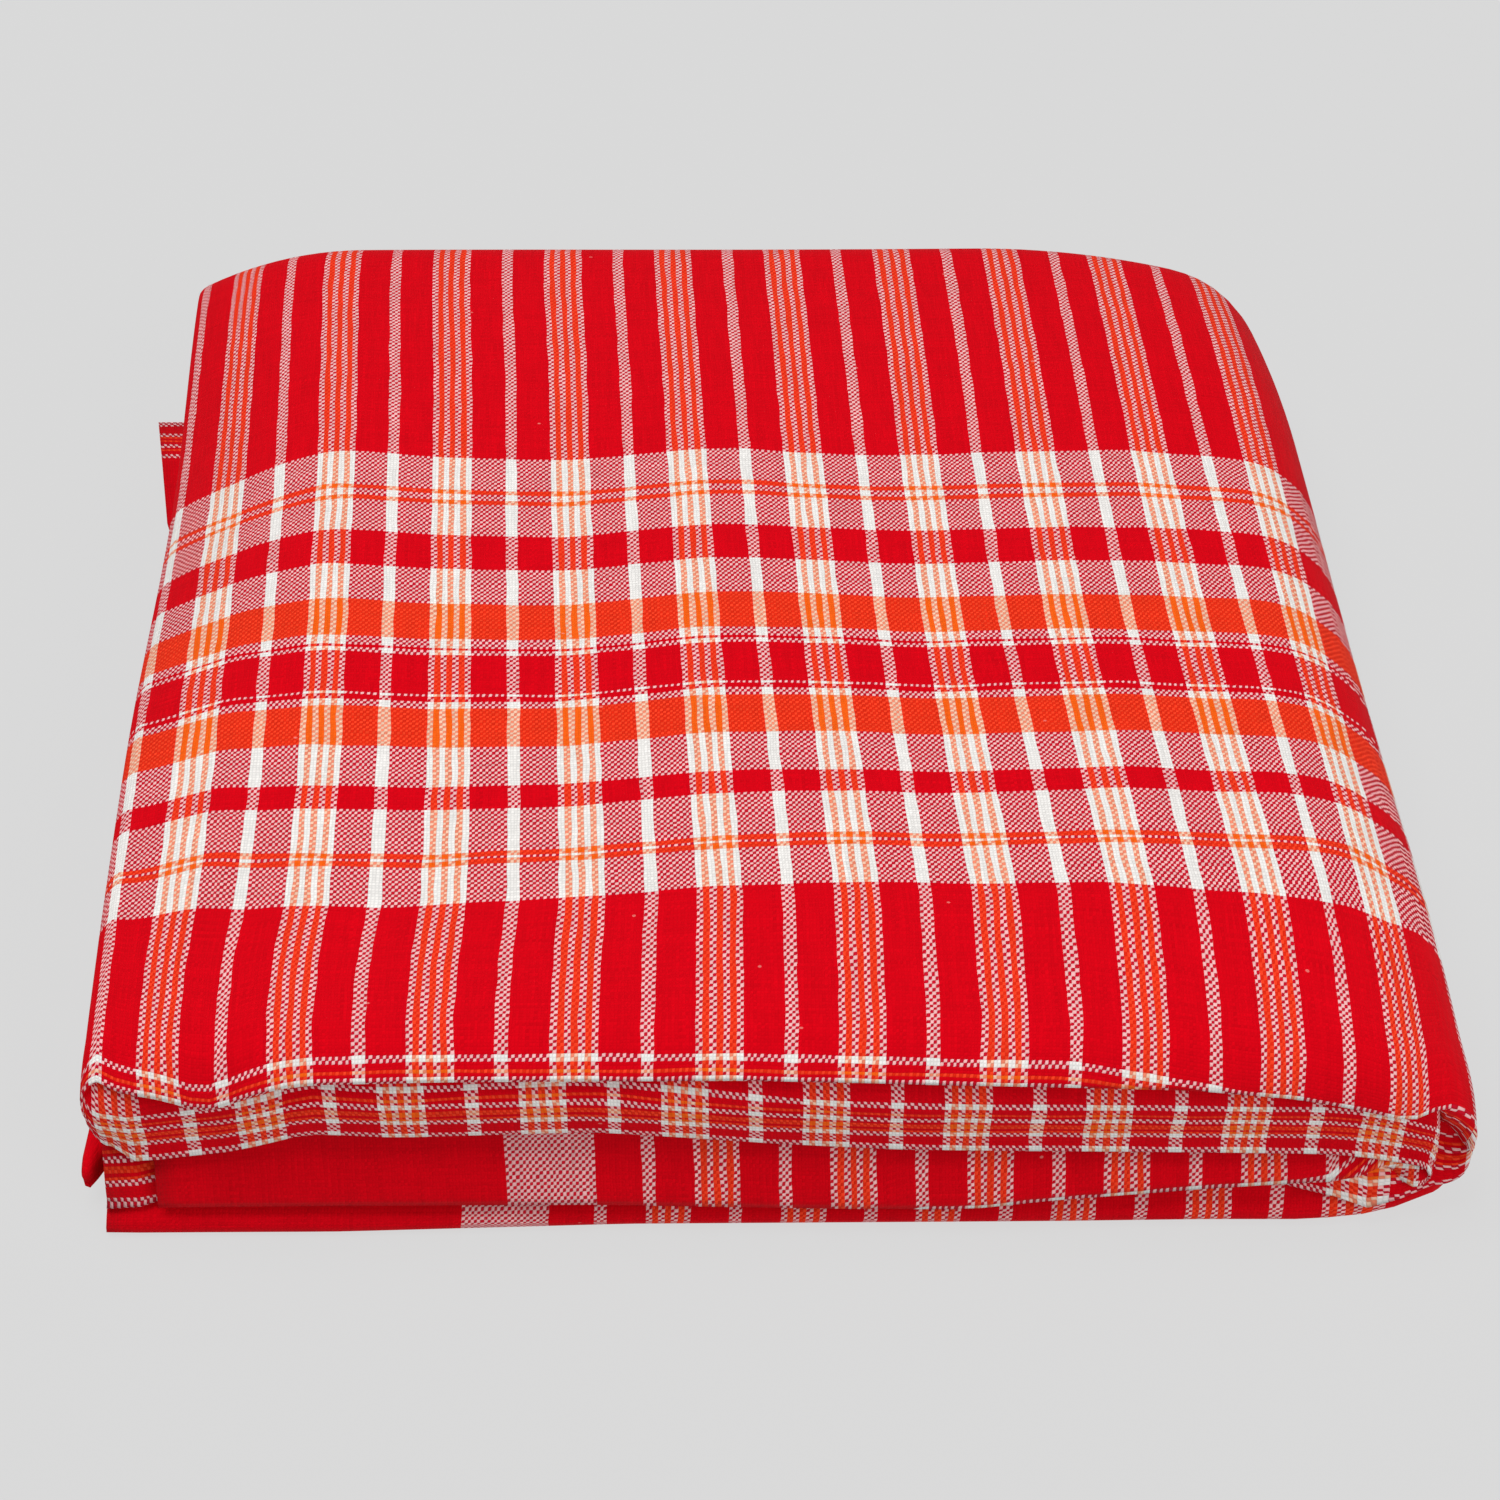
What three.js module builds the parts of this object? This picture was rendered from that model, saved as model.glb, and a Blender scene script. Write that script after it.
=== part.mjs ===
// A gamcha, a thin checked cotton towel, folded and lying on a surface.
// Its width is folded in four, so a strip of four plies is left: the top ply and the second one
// are joined by the turn at the left, the second and third by the inner turn at the right, and the
// top and fourth by the outer turn at the right. The third and fourth end in the selvages at the left.
// The strip then goes back and forth in five lanes. Its first cut end is at the front, where each
// ply below the top one hangs further down, and its last cut end is at the back of the lowest lane.
// It is one woven cloth with its hems, so it is one closed solid.
// Millimetres, +Z up, the front at -Y, the origin under the middle on the surface.
import * as THREE from "three";

// The cloth and the stack.
const CLOTH_THICKNESS = 1.0;
const STACK_HEIGHT = 33.8;
const LANES = 5;
const PLIES = 4;
const LAYER_PITCH = (STACK_HEIGHT - CLOTH_THICKNESS) / (LANES * PLIES - 1);
const HALF_CLOTH = CLOTH_THICKNESS / 2;

// Where the flat lanes end and the folds between them begin. A fold reaches out as far as it is
// deep, and its outer plies reach further by the stretch.
const FOLD_STEPS = 6;
const BACK_FOLD = { y: 89.5, side: 1, stretch: 0.15 };
const UPPER_FRONT_FOLD = { y: -71.6, side: -1, stretch: 0.15 };
const LOWER_FRONT_FOLD = { y: -75.5, side: -1, stretch: 0.6 };
const FOLDS = [BACK_FOLD, UPPER_FRONT_FOLD, BACK_FOLD, LOWER_FRONT_FOLD];
const LANE_BREAKS_Y = [-35, 22, 68];

// The first cut end goes over the front edge about this axis, and then hangs and leans out.
const FRONT_AXIS_Y = -76;
const FRONT_AXIS_Z = 23.2;
const HANG_UNIT = 10;
const HANG_STEPS = [1, 0.86, 0.72, 0.58, 0.45, 0.33, 0.22, 0.11];
const HEM_LEAN = 5.5;
const HEM_LEAN_TOP_Z = 18;
const HEM_LEAN_HEIGHT = 14;
const LEFT_BLEND = 14;
const RIGHT_BLEND = 18;

// One row for each ply. The first three sizes say how far its first end goes at the left, in the
// middle and at the right: 1 is a quarter turn over the edge, and each 1 more hangs by one unit.
// The last is where its last end lies. Plies that share a turn agree beside it.
const PLY_ENDS = [
  { ply: "top", left: 0.67, middle: 0.6, right: 0.83, lastY: 79.5 },
  { ply: "second", left: 0.67, middle: 1.96, right: 2.1, lastY: 79.5 },
  { ply: "third", left: 2.72, middle: 2.72, right: 2.1, lastY: 80.5 },
  { ply: "fourth", left: 1.97, middle: 1.97, right: 0.83, lastY: 78.0 },
];

// Across the width, from one selvage to the other: flat panels and the turns between them.
const THIRD_SELVAGE_X = -84.7;
const FOURTH_SELVAGE_X = -92.0;
const LEFT_TURN_X = -90.2;
const INNER_TURN_X = 85.7;
const OUTER_TURN_X = 91.2;
const ACROSS = [
  { kind: "panel", ply: 2, from: THIRD_SELVAGE_X, to: INNER_TURN_X },
  { kind: "turn", ply: 2, next: 1, x: INNER_TURN_X, side: 1, bulge: 0.85, steps: 5 },
  { kind: "panel", ply: 1, from: INNER_TURN_X, to: LEFT_TURN_X, extra: [-82.7, -76.2] },
  { kind: "turn", ply: 1, next: 0, x: LEFT_TURN_X, side: -1, bulge: 1.3, steps: 5 },
  { kind: "panel", ply: 0, from: LEFT_TURN_X, to: OUTER_TURN_X },
  { kind: "turn", ply: 0, next: 3, x: OUTER_TURN_X, side: 1, bulge: 3.4, steps: 6 },
  { kind: "panel", ply: 3, from: OUTER_TURN_X, to: FOURTH_SELVAGE_X },
];
const LOOP_START_X = -85.9;
const PANEL_BREAKS_X = [LEFT_TURN_X, LOOP_START_X, -79.7, -68.5, -30, 30, 70, 78, 85.7];
const TURN_GROWTH = 0.11;

// The left turn is a little open: there the second ply leaves the top one.
const LOOP_OPENING = 0.8 * LAYER_PITCH;

// How the whole stack has slumped.
const SIDE_ROLL_START = 62;
const SIDE_ROLL_WIDTH = 36;
const SIDE_ROLL_DROP = 7.2;
const BACK_ROLL_START = 54;
const BACK_ROLL_WIDTH = 36;
const BACK_ROLL_DROP = 1.8;
const FRONT_ROLL_START = 50;
const FRONT_ROLL_WIDTH = 36;
const FRONT_ROLL_DROP = 1.6;
const TOE_HEIGHT = 5.6;
const TOE_REACH = 8;
const FLAP_REACH = 4.5;
const FLAP_BACK_REACH = 4.5;
const FLAP_START_Y = 40;
const FLAP_HEIGHT = 7.25;
const FLAP_EDGE = 1.5;
const FLAP_SINK = 0.12;

// Its outline from above leans to the left at the back, is drawn in there, and is rounded at the
// back right.
const SKEW = 0.052;
const BACK_TAPER = 0.016;
const BACK_ROUNDING = 4.0;
const BACK_ROUNDING_START_X = 45;

const RED = 0xc8081a;

const smooth = (from, to, value) => THREE.MathUtils.smoothstep(value, from, to);

// The middle height of a ply in a lane. The plies lie the other way up in every second lane.
function layerZ(lane, ply) {
  const order = lane % 2 === 0 ? ply : PLIES - 1 - ply;
  return STACK_HEIGHT - HALF_CLOTH - (lane * PLIES + order) * LAYER_PITCH;
}

// Steps along the length, from the first cut end to the last one.
function stationsAlong() {
  const stations = HANG_STEPS.map((share) => ({ kind: "firstEnd", share }));
  stations.push({ kind: "lane", lane: 0, y: FRONT_AXIS_Y });
  for (const y of LANE_BREAKS_Y) stations.push({ kind: "lane", lane: 0, y });
  FOLDS.forEach((fold, lane) => {
    for (let i = 0; i <= FOLD_STEPS; i++) {
      stations.push({ kind: "fold", fold, lane, angle: (Math.PI * i) / FOLD_STEPS });
    }
    const breaks = fold.side < 0 ? LANE_BREAKS_Y : [...LANE_BREAKS_Y].reverse();
    for (const y of breaks) stations.push({ kind: "lane", lane: lane + 1, y });
  });
  stations.push({ kind: "lastEnd", lane: LANES - 1 });
  return stations;
}

// How far the first end of a ply goes at one place across the width.
function firstEndReach(ply, x) {
  const end = PLY_ENDS[ply];
  const rightTurn = ply === 1 || ply === 2 ? INNER_TURN_X : OUTER_TURN_X;
  const left = 1 - smooth(0, LEFT_BLEND, x - LEFT_TURN_X);
  const right = 1 - smooth(0, RIGHT_BLEND, rightTurn - x);
  return end.middle + (end.left - end.middle) * left + (end.right - end.middle) * right;
}

// The first cut end of a ply: over the front edge, and hanging if it goes on.
function firstEndPoint(ply, share, x) {
  const reach = firstEndReach(ply, x) * share;
  const radius = layerZ(0, ply) - FRONT_AXIS_Z;
  if (reach <= 1) {
    const angle = (reach * Math.PI) / 2;
    return new THREE.Vector2(
      FRONT_AXIS_Y - radius * Math.sin(angle),
      FRONT_AXIS_Z + radius * Math.cos(angle),
    );
  }
  const z = FRONT_AXIS_Z - HANG_UNIT * (reach - 1);
  const lean = HEM_LEAN * smooth(0, HEM_LEAN_HEIGHT, HEM_LEAN_TOP_Z - z);
  return new THREE.Vector2(FRONT_AXIS_Y - radius - lean, z);
}

// A fold between two lanes: half an ellipse about the middle of the two.
function foldPoint(ply, { fold, lane, angle }) {
  const upper = layerZ(lane, ply);
  const lower = layerZ(lane + 1, ply);
  const radius = (upper - lower) / 2;
  const reach = radius + fold.stretch * (radius - LAYER_PITCH / 2);
  return new THREE.Vector2(
    fold.y + fold.side * reach * Math.sin(angle),
    (upper + lower) / 2 + radius * Math.cos(angle),
  );
}

// The middle of a ply at one step along the length, seen from the side: y and z.
function sidePoint(ply, station, x) {
  if (station.kind === "firstEnd") return firstEndPoint(ply, station.share, x);
  if (station.kind === "fold") return foldPoint(ply, station);
  const y = station.kind === "lastEnd" ? PLY_ENDS[ply].lastY : station.y;
  return new THREE.Vector2(y, layerZ(station.lane, ply));
}

// One point of a flat panel. Beside the left turn the second ply leaves the top one.
function panelPoint(ply, station, x) {
  const point = sidePoint(ply, station, x);
  if (ply === 1) {
    const away = point.clone().sub(sidePoint(0, station, x)).normalize();
    point.addScaledVector(away, LOOP_OPENING * (1 - smooth(LEFT_TURN_X, LOOP_START_X, x)));
  }
  return new THREE.Vector3(x, point.x, point.y);
}

// One point of a turn: half an ellipse that leaves one ply and comes back on the next.
function turnPoint(row, station, s) {
  const start = panelPoint(row.ply, station, row.x);
  const end = panelPoint(row.next, station, row.x);
  const half = start.distanceTo(end) / 2;
  const angle = Math.PI * s;
  const point = start.clone().add(end).multiplyScalar(0.5);
  point.addScaledVector(start.clone().sub(end).multiplyScalar(0.5), Math.cos(angle));
  point.x += row.side * (row.bulge + TURN_GROWTH * half) * Math.sin(angle);
  return point;
}

// The slump of the whole stack. It moves neighbouring layers alike, so they stay apart,
// and it leaves the lowest ply flat on the surface.
function slump(point) {
  const { x, y, z } = point;
  const frontLeft = smooth(20, 80, -x) * smooth(-20, 80, -y);
  const side = Math.max(0, (Math.abs(x) - SIDE_ROLL_START) / SIDE_ROLL_WIDTH);
  const back = Math.max(0, (y - BACK_ROLL_START) / BACK_ROLL_WIDTH);
  const front = Math.max(0, (-y - FRONT_ROLL_START) / FRONT_ROLL_WIDTH);
  const drop =
    SIDE_ROLL_DROP * (1 - 0.45 * frontLeft) * side ** 1.8 +
    BACK_ROLL_DROP * back ** 2 +
    FRONT_ROLL_DROP * front ** 2;
  const ripple =
    0.45 * Math.sin(x / 23 + 0.8) * Math.cos(y / 45) + 0.35 * Math.sin(x / 41 - y / 60 + 2);
  const scale = 1 + (ripple - drop) / STACK_HEIGHT;
  const toe = TOE_REACH * Math.max(0, 1 - z / TOE_HEIGHT) * smooth(50, 74, -y);
  const flap =
    smooth(74, 90, -x) *
    smooth(FLAP_START_Y, FLAP_START_Y + 9, y) *
    (1 - smooth(FLAP_HEIGHT - FLAP_EDGE, FLAP_HEIGHT, z));
  const flapReach = FLAP_REACH + FLAP_BACK_REACH * smooth(50, BACK_FOLD.y, y);
  const taper = 1 - BACK_TAPER * smooth(-20, BACK_FOLD.y, y) * smooth(-60, 60, -x);
  const corner = Math.max(0, x / BACK_ROUNDING_START_X - 1) ** 2;
  const rounding = BACK_ROUNDING * corner * smooth(20, BACK_FOLD.y, y);
  return new THREE.Vector3(
    (x - flapReach * flap) * taper - SKEW * y,
    y - toe - rounding,
    HALF_CLOTH + (z - HALF_CLOTH) * (scale - FLAP_SINK * flap),
  );
}

// Where a panel has its columns of points. They are the same in all plies, so the plies stay
// parallel, and a ply whose hem climbs steeply has a few more.
function panelColumns(strip) {
  const low = Math.min(strip.from, strip.to);
  const high = Math.max(strip.from, strip.to);
  const breaks = [...PANEL_BREAKS_X, ...(strip.extra ?? [])].sort((a, b) => a - b);
  const columns = [low, ...breaks.filter((x) => x > low && x < high), high];
  return strip.from < strip.to ? columns : columns.reverse();
}

// The cloth's middle surface, as rows of points across its width.
function middleSurface() {
  return stationsAlong().map((station) => {
    const row = [];
    for (const strip of ACROSS) {
      if (strip.kind === "panel") {
        for (const x of panelColumns(strip)) row.push(panelPoint(strip.ply, station, x));
      } else {
        for (let i = 1; i < strip.steps; i++) {
          row.push(turnPoint(strip, station, i / strip.steps));
        }
      }
    }
    return row.map(slump);
  });
}

// The direction square to the surface at one point, from its neighbours in the grid.
function normalAt(rows, i, j) {
  const along = rows[Math.min(i + 1, rows.length - 1)][j]
    .clone()
    .sub(rows[Math.max(i - 1, 0)][j]);
  const across = rows[i][Math.min(j + 1, rows[i].length - 1)]
    .clone()
    .sub(rows[i][Math.max(j - 1, 0)]);
  return across.cross(along).normalize();
}

// The solid cloth: the middle surface moved half a thickness to each side, and closed at its rim.
function clothGeometry() {
  const rows = middleSurface();
  const columns = rows[0].length;
  const count = rows.length * columns;
  const positions = [];
  for (const side of [1, -1]) {
    rows.forEach((row, i) =>
      row.forEach((point, j) => {
        const moved = point.clone().addScaledVector(normalAt(rows, i, j), side * HALF_CLOTH);
        positions.push(moved.x, moved.y, moved.z);
      }),
    );
  }
  const faces = [];
  const quad = (a, b, c, d) => faces.push(a, b, c, a, c, d);
  const at = (i, j) => i * columns + j;
  for (let i = 0; i + 1 < rows.length; i++) {
    for (let j = 0; j + 1 < columns; j++) {
      const corners = [at(i, j), at(i, j + 1), at(i + 1, j + 1), at(i + 1, j)];
      quad(...corners);
      quad(...corners.map((corner) => corner + count).reverse());
    }
  }
  const rim = [];
  for (let j = 0; j < columns; j++) rim.push(at(0, j));
  for (let i = 1; i < rows.length; i++) rim.push(at(i, columns - 1));
  for (let j = columns - 2; j >= 0; j--) rim.push(at(rows.length - 1, j));
  for (let i = rows.length - 2; i > 0; i--) rim.push(at(i, 0));
  rim.forEach((corner, k) => {
    const next = rim[(k + 1) % rim.length];
    quad(next, corner, corner + count, next + count);
  });
  const geometry = new THREE.BufferGeometry();
  geometry.setAttribute("position", new THREE.Float32BufferAttribute(positions, 3));
  geometry.setIndex(faces);
  geometry.computeBoundingBox();
  const middle = geometry.boundingBox.getCenter(new THREE.Vector3());
  geometry.translate(-middle.x, -middle.y, -geometry.boundingBox.min.z);
  geometry.computeVertexNormals();
  return geometry;
}

const cloth = new THREE.Mesh(
  clothGeometry(),
  new THREE.MeshStandardMaterial({ color: RED, roughness: 0.95, metalness: 0 }),
);
cloth.name = "gamcha_cloth";

const towel = new THREE.Group();
towel.add(cloth);

export default towel;
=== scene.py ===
import math

import bpy
import numpy as np
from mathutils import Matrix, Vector


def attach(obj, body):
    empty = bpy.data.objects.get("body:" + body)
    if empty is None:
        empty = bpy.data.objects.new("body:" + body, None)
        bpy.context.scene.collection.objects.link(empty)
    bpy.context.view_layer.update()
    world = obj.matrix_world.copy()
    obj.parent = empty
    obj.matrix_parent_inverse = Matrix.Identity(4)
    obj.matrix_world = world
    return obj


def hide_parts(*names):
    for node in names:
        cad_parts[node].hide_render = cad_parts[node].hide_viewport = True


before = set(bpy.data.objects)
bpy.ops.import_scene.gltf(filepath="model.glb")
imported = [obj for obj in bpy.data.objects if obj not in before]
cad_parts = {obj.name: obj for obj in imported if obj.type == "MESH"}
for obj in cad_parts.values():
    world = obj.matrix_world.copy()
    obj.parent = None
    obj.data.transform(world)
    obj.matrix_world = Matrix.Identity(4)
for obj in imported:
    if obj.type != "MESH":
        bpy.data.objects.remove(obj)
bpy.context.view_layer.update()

# A gamcha, a thin checked cotton towel: its width is folded in four plies and its length goes back
# and forth in five lanes. The plies are top, second, third and fourth, and the cloth runs across
# from one selvage (third ply) over the inner right turn, the left turn and the outer right turn to
# the other selvage (fourth ply). Sizes are in millimetres until the mesh is made.
MM = 0.001
CLOTH_THICKNESS = 0.45
FLOOR_GAP = 0.05
STACK_HEIGHT = 33.8
# The thickness of the cloth in the solid, which sets how far apart the layers lie.
SOLID_CLOTH = 1.0
LANES = 5
PLIES = 4
TOP, SECOND, THIRD, FOURTH = range(PLIES)
LAYER_PITCH = (STACK_HEIGHT - SOLID_CLOTH) / (LANES * PLIES - 1)

# The folds between the lanes: where each turns, which way, and how far it is drawn out.
BACK_FOLD = {"y": 89.5, "side": 1, "stretch": 0.15}
UPPER_FRONT_FOLD = {"y": -71.6, "side": -1, "stretch": 0.15}
LOWER_FRONT_FOLD = {"y": -75.5, "side": -1, "stretch": 0.6}
FOLDS = [BACK_FOLD, UPPER_FRONT_FOLD, BACK_FOLD, LOWER_FRONT_FOLD]

# Steps along the length.
FOLD_STEPS = 12
TOP_LANE_STEPS = 56
LOWER_LANE_STEPS = 12
HANG_STEPS = 30
FLAP_STEPS = 9

# Where each ply's last cut end lies, from the line where the back folds begin.
LAST_END = {TOP: -10.0, SECOND: -10.0, THIRD: -7.5, FOURTH: -7.0}

# The first cut end goes over the front edge about this axis, and then hangs and leans out.
FRONT_Y = -76.0
FRONT_AXIS_Z = 23.2
HEM_LEAN = 5.5
HEM_LEAN_TOP_Z = 18.0
HEM_LEAN_HEIGHT = 14.0
# The hems' stagger is taken up by the weave over this length behind the front edge.
HEM_EASE = 36.0

# The bend where a hem is turned under, and the length over which it opens.
HEM_BEND = 0.42
HEM_BEND_LENGTH = 1.2

# How far each ply's lower edge lies from the line where the front edge begins, along the cloth.
# Columns: place across, length.
HEM_LENGTH = {
    TOP: [
        (-92, 10.6), (-89.5, 8.8), (-87, 8.9), (-81, 10.5), (-78, 11.9), (-75.5, 12.8), (-72, 11.3),
        (-67, 9.7), (-62, 9.0), (-45, 8.6), (-24, 8.4), (-4, 8.2), (16, 8.5), (36, 9.0), (56, 9.6),
        (69, 10.8), (75, 11.9), (80, 12.5), (87.5, 13.0), (91.2, 16.0),
    ],
    SECOND: [
        (-95, 17.0), (-91, 19.6), (-88, 22.2), (-73.5, 20.9), (-68, 19.5), (-63, 17.5), (-51, 18.4),
        (-24, 17.0), (0, 19.5), (16, 20.5), (34, 20.8), (59, 21.1), (80, 21.5), (88, 22.0),
    ],
    THIRD: [
        (-92, 27.4), (-66, 27.4), (-25, 27.1), (12, 27.8), (27, 27.8), (38, 26.4), (58, 24.8),
        (75, 23.8), (82, 23.6), (88, 24.2),
    ],
    FOURTH: [
        (-95, 25.9), (-84, 25.7), (-76, 20.0), (60, 20.0), (74, 24.0), (84, 26.5), (88, 25.0),
        (91.2, 22.5),
    ],
}
# The last part of the cloth is the hem's depth, and is turned under where its share says 1.
# Columns: place across, depth or share.
HEM_DEPTH = {
    TOP: [(-92, 6.4), (40, 6.8), (62, 9.6), (91, 9.6)],
    SECOND: [(-92, 6.4), (-80, 6.0), (91, 6.0)],
    THIRD: [(-92, 12.0), (10, 12.0), (20, 9.6), (76, 9.6), (84, 3.6), (91, 3.6)],
    FOURTH: [(-95, 6.0), (91, 6.0)],
}
HEM_TURNED = {
    TOP: [(-92.5, 0.2), (-88, 1), (86, 1), (91, 0.2)],
    SECOND: [(-93, 0.2), (-88, 0), (91, 0)],
    THIRD: [(-92, 1), (80, 1), (86, 0)],
    FOURTH: [(-95, 0), (91, 0)],
}

# Across the width: the selvages, and the turns between the plies.
THIRD_SELVAGE_X = -84.7
FOURTH_SELVAGE_X = -92.0
LEFT_TURN_X = -90.2
INNER_TURN_X = 88.0
OUTER_TURN_X = 91.2

# The strips across the width. A turn bulges out by its bulge and a share of its half height.
ACROSS = [
    {"kind": "panel", "ply": THIRD, "start": THIRD_SELVAGE_X, "end": INNER_TURN_X, "steps": 44},
    {"kind": "turn", "ply": THIRD, "next": SECOND, "x": INNER_TURN_X, "side": 1, "bulge": 0.85,
     "growth": 0.5, "steps": 10},
    {"kind": "panel", "ply": SECOND, "start": INNER_TURN_X, "end": LEFT_TURN_X, "steps": 56},
    {"kind": "turn", "ply": SECOND, "next": TOP, "x": LEFT_TURN_X, "side": -1, "bulge": 1.5,
     "growth": 0.25, "steps": 12},
    {"kind": "panel", "ply": TOP, "start": LEFT_TURN_X, "end": OUTER_TURN_X, "steps": 72},
    {"kind": "turn", "ply": TOP, "next": FOURTH, "x": OUTER_TURN_X, "side": 1, "bulge": 3.4,
     "growth": 0.11, "steps": 14},
    {"kind": "panel", "ply": FOURTH, "start": OUTER_TURN_X, "end": FOURTH_SELVAGE_X, "steps": 40},
]

# The edges at the left and the right have rolled off, each from a place across and over a width. The
# drops at the front pass into the ones at the back between two places along.
ROLL_FRONT_Y = -60.0
ROLL_BACK_Y = 40.0
CORNER_BACK_Y = 90.0
LEFT_ROLL_X = -62.0
LEFT_ROLL_WIDTH = 30.0
LEFT_FRONT_DROP = 3.0
LEFT_BACK_DROP = 14.0
LEFT_CORNER_DROP = 9.0
RIGHT_FRONT_ROLL_X = 72.0
RIGHT_FRONT_ROLL_WIDTH = 23.0
RIGHT_FRONT_DROP = 10.0
RIGHT_BACK_ROLL_X = 76.0
RIGHT_BACK_ROLL_WIDTH = 19.6
RIGHT_BACK_DROP = 13.0

# The top sinks towards the back and the front, and more at the back right.
BACK_SLOPE_Y = 54.0
FRONT_SLOPE_Y = -50.0
SLOPE_WIDTH = 36.0
BACK_DROP = 1.7
BACK_RIGHT_DROP = 3.5
FRONT_DROP = 1.6
RIGHT_PART_X = 45.0
RIGHT_PART_WIDTH = 45.0

# How far the lowest layers reach out at the front, and up to what height. Columns: place across,
# reach.
TOE_HEIGHT = 5.6
TOE_REACH = [
    (-97.5, 8.6), (-95, 10.6), (-92.5, 11.5), (-60, 11.3), (-20, 9.6), (40, 9.0), (60, 8.6),
    (75, 8.6), (86, 7.0), (95, 3.0),
]
FRONT_START_Y = -50.0
FRONT_END_Y = -74.0

# The front right corner is drawn back below this height, and its outer turn bulges a little more.
CORNER_REACH = 2.5
CORNER_HEIGHT = 15.0
CORNER_BULGE = 0.6

# At the front, the left turns of the lowest lanes reach out, and what is furthest out is drawn
# forward.
TAB_REACH = 3.5
TAB_FORWARD = 5.0
TAB_FIRST_LANE = 3
TAB_END_Y = -72.0

# The lowest plies reach out at the back left, the further back the more, and lie down there.
FLAP_REACH = 5.2
FLAP_BACK_REACH = 4.8
FLAP_START_Y = 40.0
FLAP_HEIGHT = 3.7
FLAP_EDGE = 1.0
FLAP_SINK = 0.12

# The outline from above leans to the left at the back, is drawn in there, and is rounded at the back
# right. The front edge is a little higher at the right.
SKEW = 0.052
BACK_TAPER = 0.02
BACK_ROUNDING = 5.5
FRONT_TILT = 1.2

# Soft troughs (negative) and ridges (positive) on the top lane. Columns: first end x, y, other end
# x, y, half width, height.
CREASES = [
    (-8, -70, -3, 75, 7.0, 0.60),
    (-30, -60, -26, 30, 9.0, -0.50),
    (22, -76, 30, 20, 9.0, -0.60),
    (-58, -40, -60, 60, 8.0, 0.45),
    (46, -76, 56, -10, 7.0, 0.55),
    (-60, -72, -46, -48, 5.0, -0.60),
    (66, -50, 60, 40, 7.0, -0.45),
    (-84, 30, -58, 22, 4.5, -0.45),
]

# The weave: the width of a yarn and of a pick, and after how many yarns the stripes repeat.
YARN = 0.4525
PICK = 0.475
REPEAT_YARNS = 42.0
# How far the yarns wander, how much the cells of one diagonal run together, and below what relief a
# cell shows its weft.
WANDER = 0.5
DIAGONAL = 0.05
WEFT_SHARE = -0.08

# Where the repeats of the stripes lie on each ply. Columns: place across, repeats from the middle
# of the left turn.
STRIPE_PLACES = {
    TOP: [
        (-90.4, 0), (-73.3, 1), (-55.0, 2), (-36.1, 3), (-16.7, 4), (2.4, 5), (21.2, 6), (40.1, 7),
        (58.8, 8), (76.5, 9), (93.5, 10),
    ],
    SECOND: [(-78.6, 1), (-59.3, 2), (54.7, 8), (82.3, 9.5)],
    THIRD: [(-84.7, 19.64), (-36.5, 17.02), (-17.0, 16), (57.9, 12), (76.6, 11)],
    FOURTH: [(-92.0, 19.6), (-42.8, 17.02), (-23.7, 16), (69.8, 11), (79.4, 10.5), (91.2, 10.15)],
}

# The weft lines drift on the top ply. Columns: place across, drift of the lines in millimetres.
NEAR_DRIFT_Y = -56.0
FAR_DRIFT_Y = 36.0
NEAR_DRIFT = [
    (-87, -0.7), (-77, 2.0), (-71, 0.5), (-58, -0.1), (-45, -0.1), (-30, 0.8), (-17, 1.4), (-5, 2.3),
    (7, 3.1), (17, 3.5), (32, 3.1), (45, 3.0), (60, 3.1), (73, 2.6), (84, 2.6), (91, 0),
]
FAR_DRIFT = [
    (-92, 1.7), (-84, 0.4), (-80, -0.3), (-72, 0.8), (-64, 2.0), (-56, 1.3), (-48, 0.6), (-38, -0.1),
    (-26, -0.5), (-14, 0.6), (3, 1.5), (11, 0.6), (23, -0.1), (37, 0.6), (47, 1.3), (63, 2.4),
    (71, 1.5), (83, 0.8), (92, 0.1),
]

# The stripes bend on the top ply. The first row gives places across, and each other row a place
# along and how far the stripes lie to the right there, in millimetres.
STRIPE_BEND_PLACES = (-90, -73, -36, 2, 40, 76, 91)
STRIPE_BEND = [
    (-76, (0, -0.2, 0.2, 0.55, 0.9, 0.6, 0)),
    (-66, (0, -0.1, 0.7, 0.95, 1.3, 1.5, 0.5)),
    (-56, (0, 1.0, 1.7, 1.35, 1.75, 1.9, 0.7)),
    (-30, (0, 1.85, 1.8, 0.9, 0.5, 1.0, 0.4)),
    (0, (0, 1.75, 1.5, 0.4, -0.7, 0.15, 0)),
    (36, (0, 0.8, 0.9, 0, -0.8, -0.6, 0)),
    (57, (0, -0.3, 0.6, -0.15, -0.45, -0.8, 0)),
    (80, (0, -1.4, -0.3, -0.3, -0.3, -0.9, 0)),
]


def smooth(low, high, value):
    t = np.clip((value - low) / (high - low), 0.0, 1.0)
    return t * t * (3 - 2 * t)


def layer_z(lane, ply):
    """The middle height of a ply in a lane. The plies lie the other way up in every second lane."""
    order = ply if lane % 2 == 0 else PLIES - 1 - ply
    return STACK_HEIGHT - SOLID_CLOTH / 2 - (lane * PLIES + order) * LAYER_PITCH


def along(table, x):
    """A soft curve through a table of (place, value)."""
    places, values = np.array(table, float).T
    spread = np.linspace(-2.0, 2.0, 9)
    return np.mean([np.interp(x + d, places, values) for d in spread], axis=0)


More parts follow.
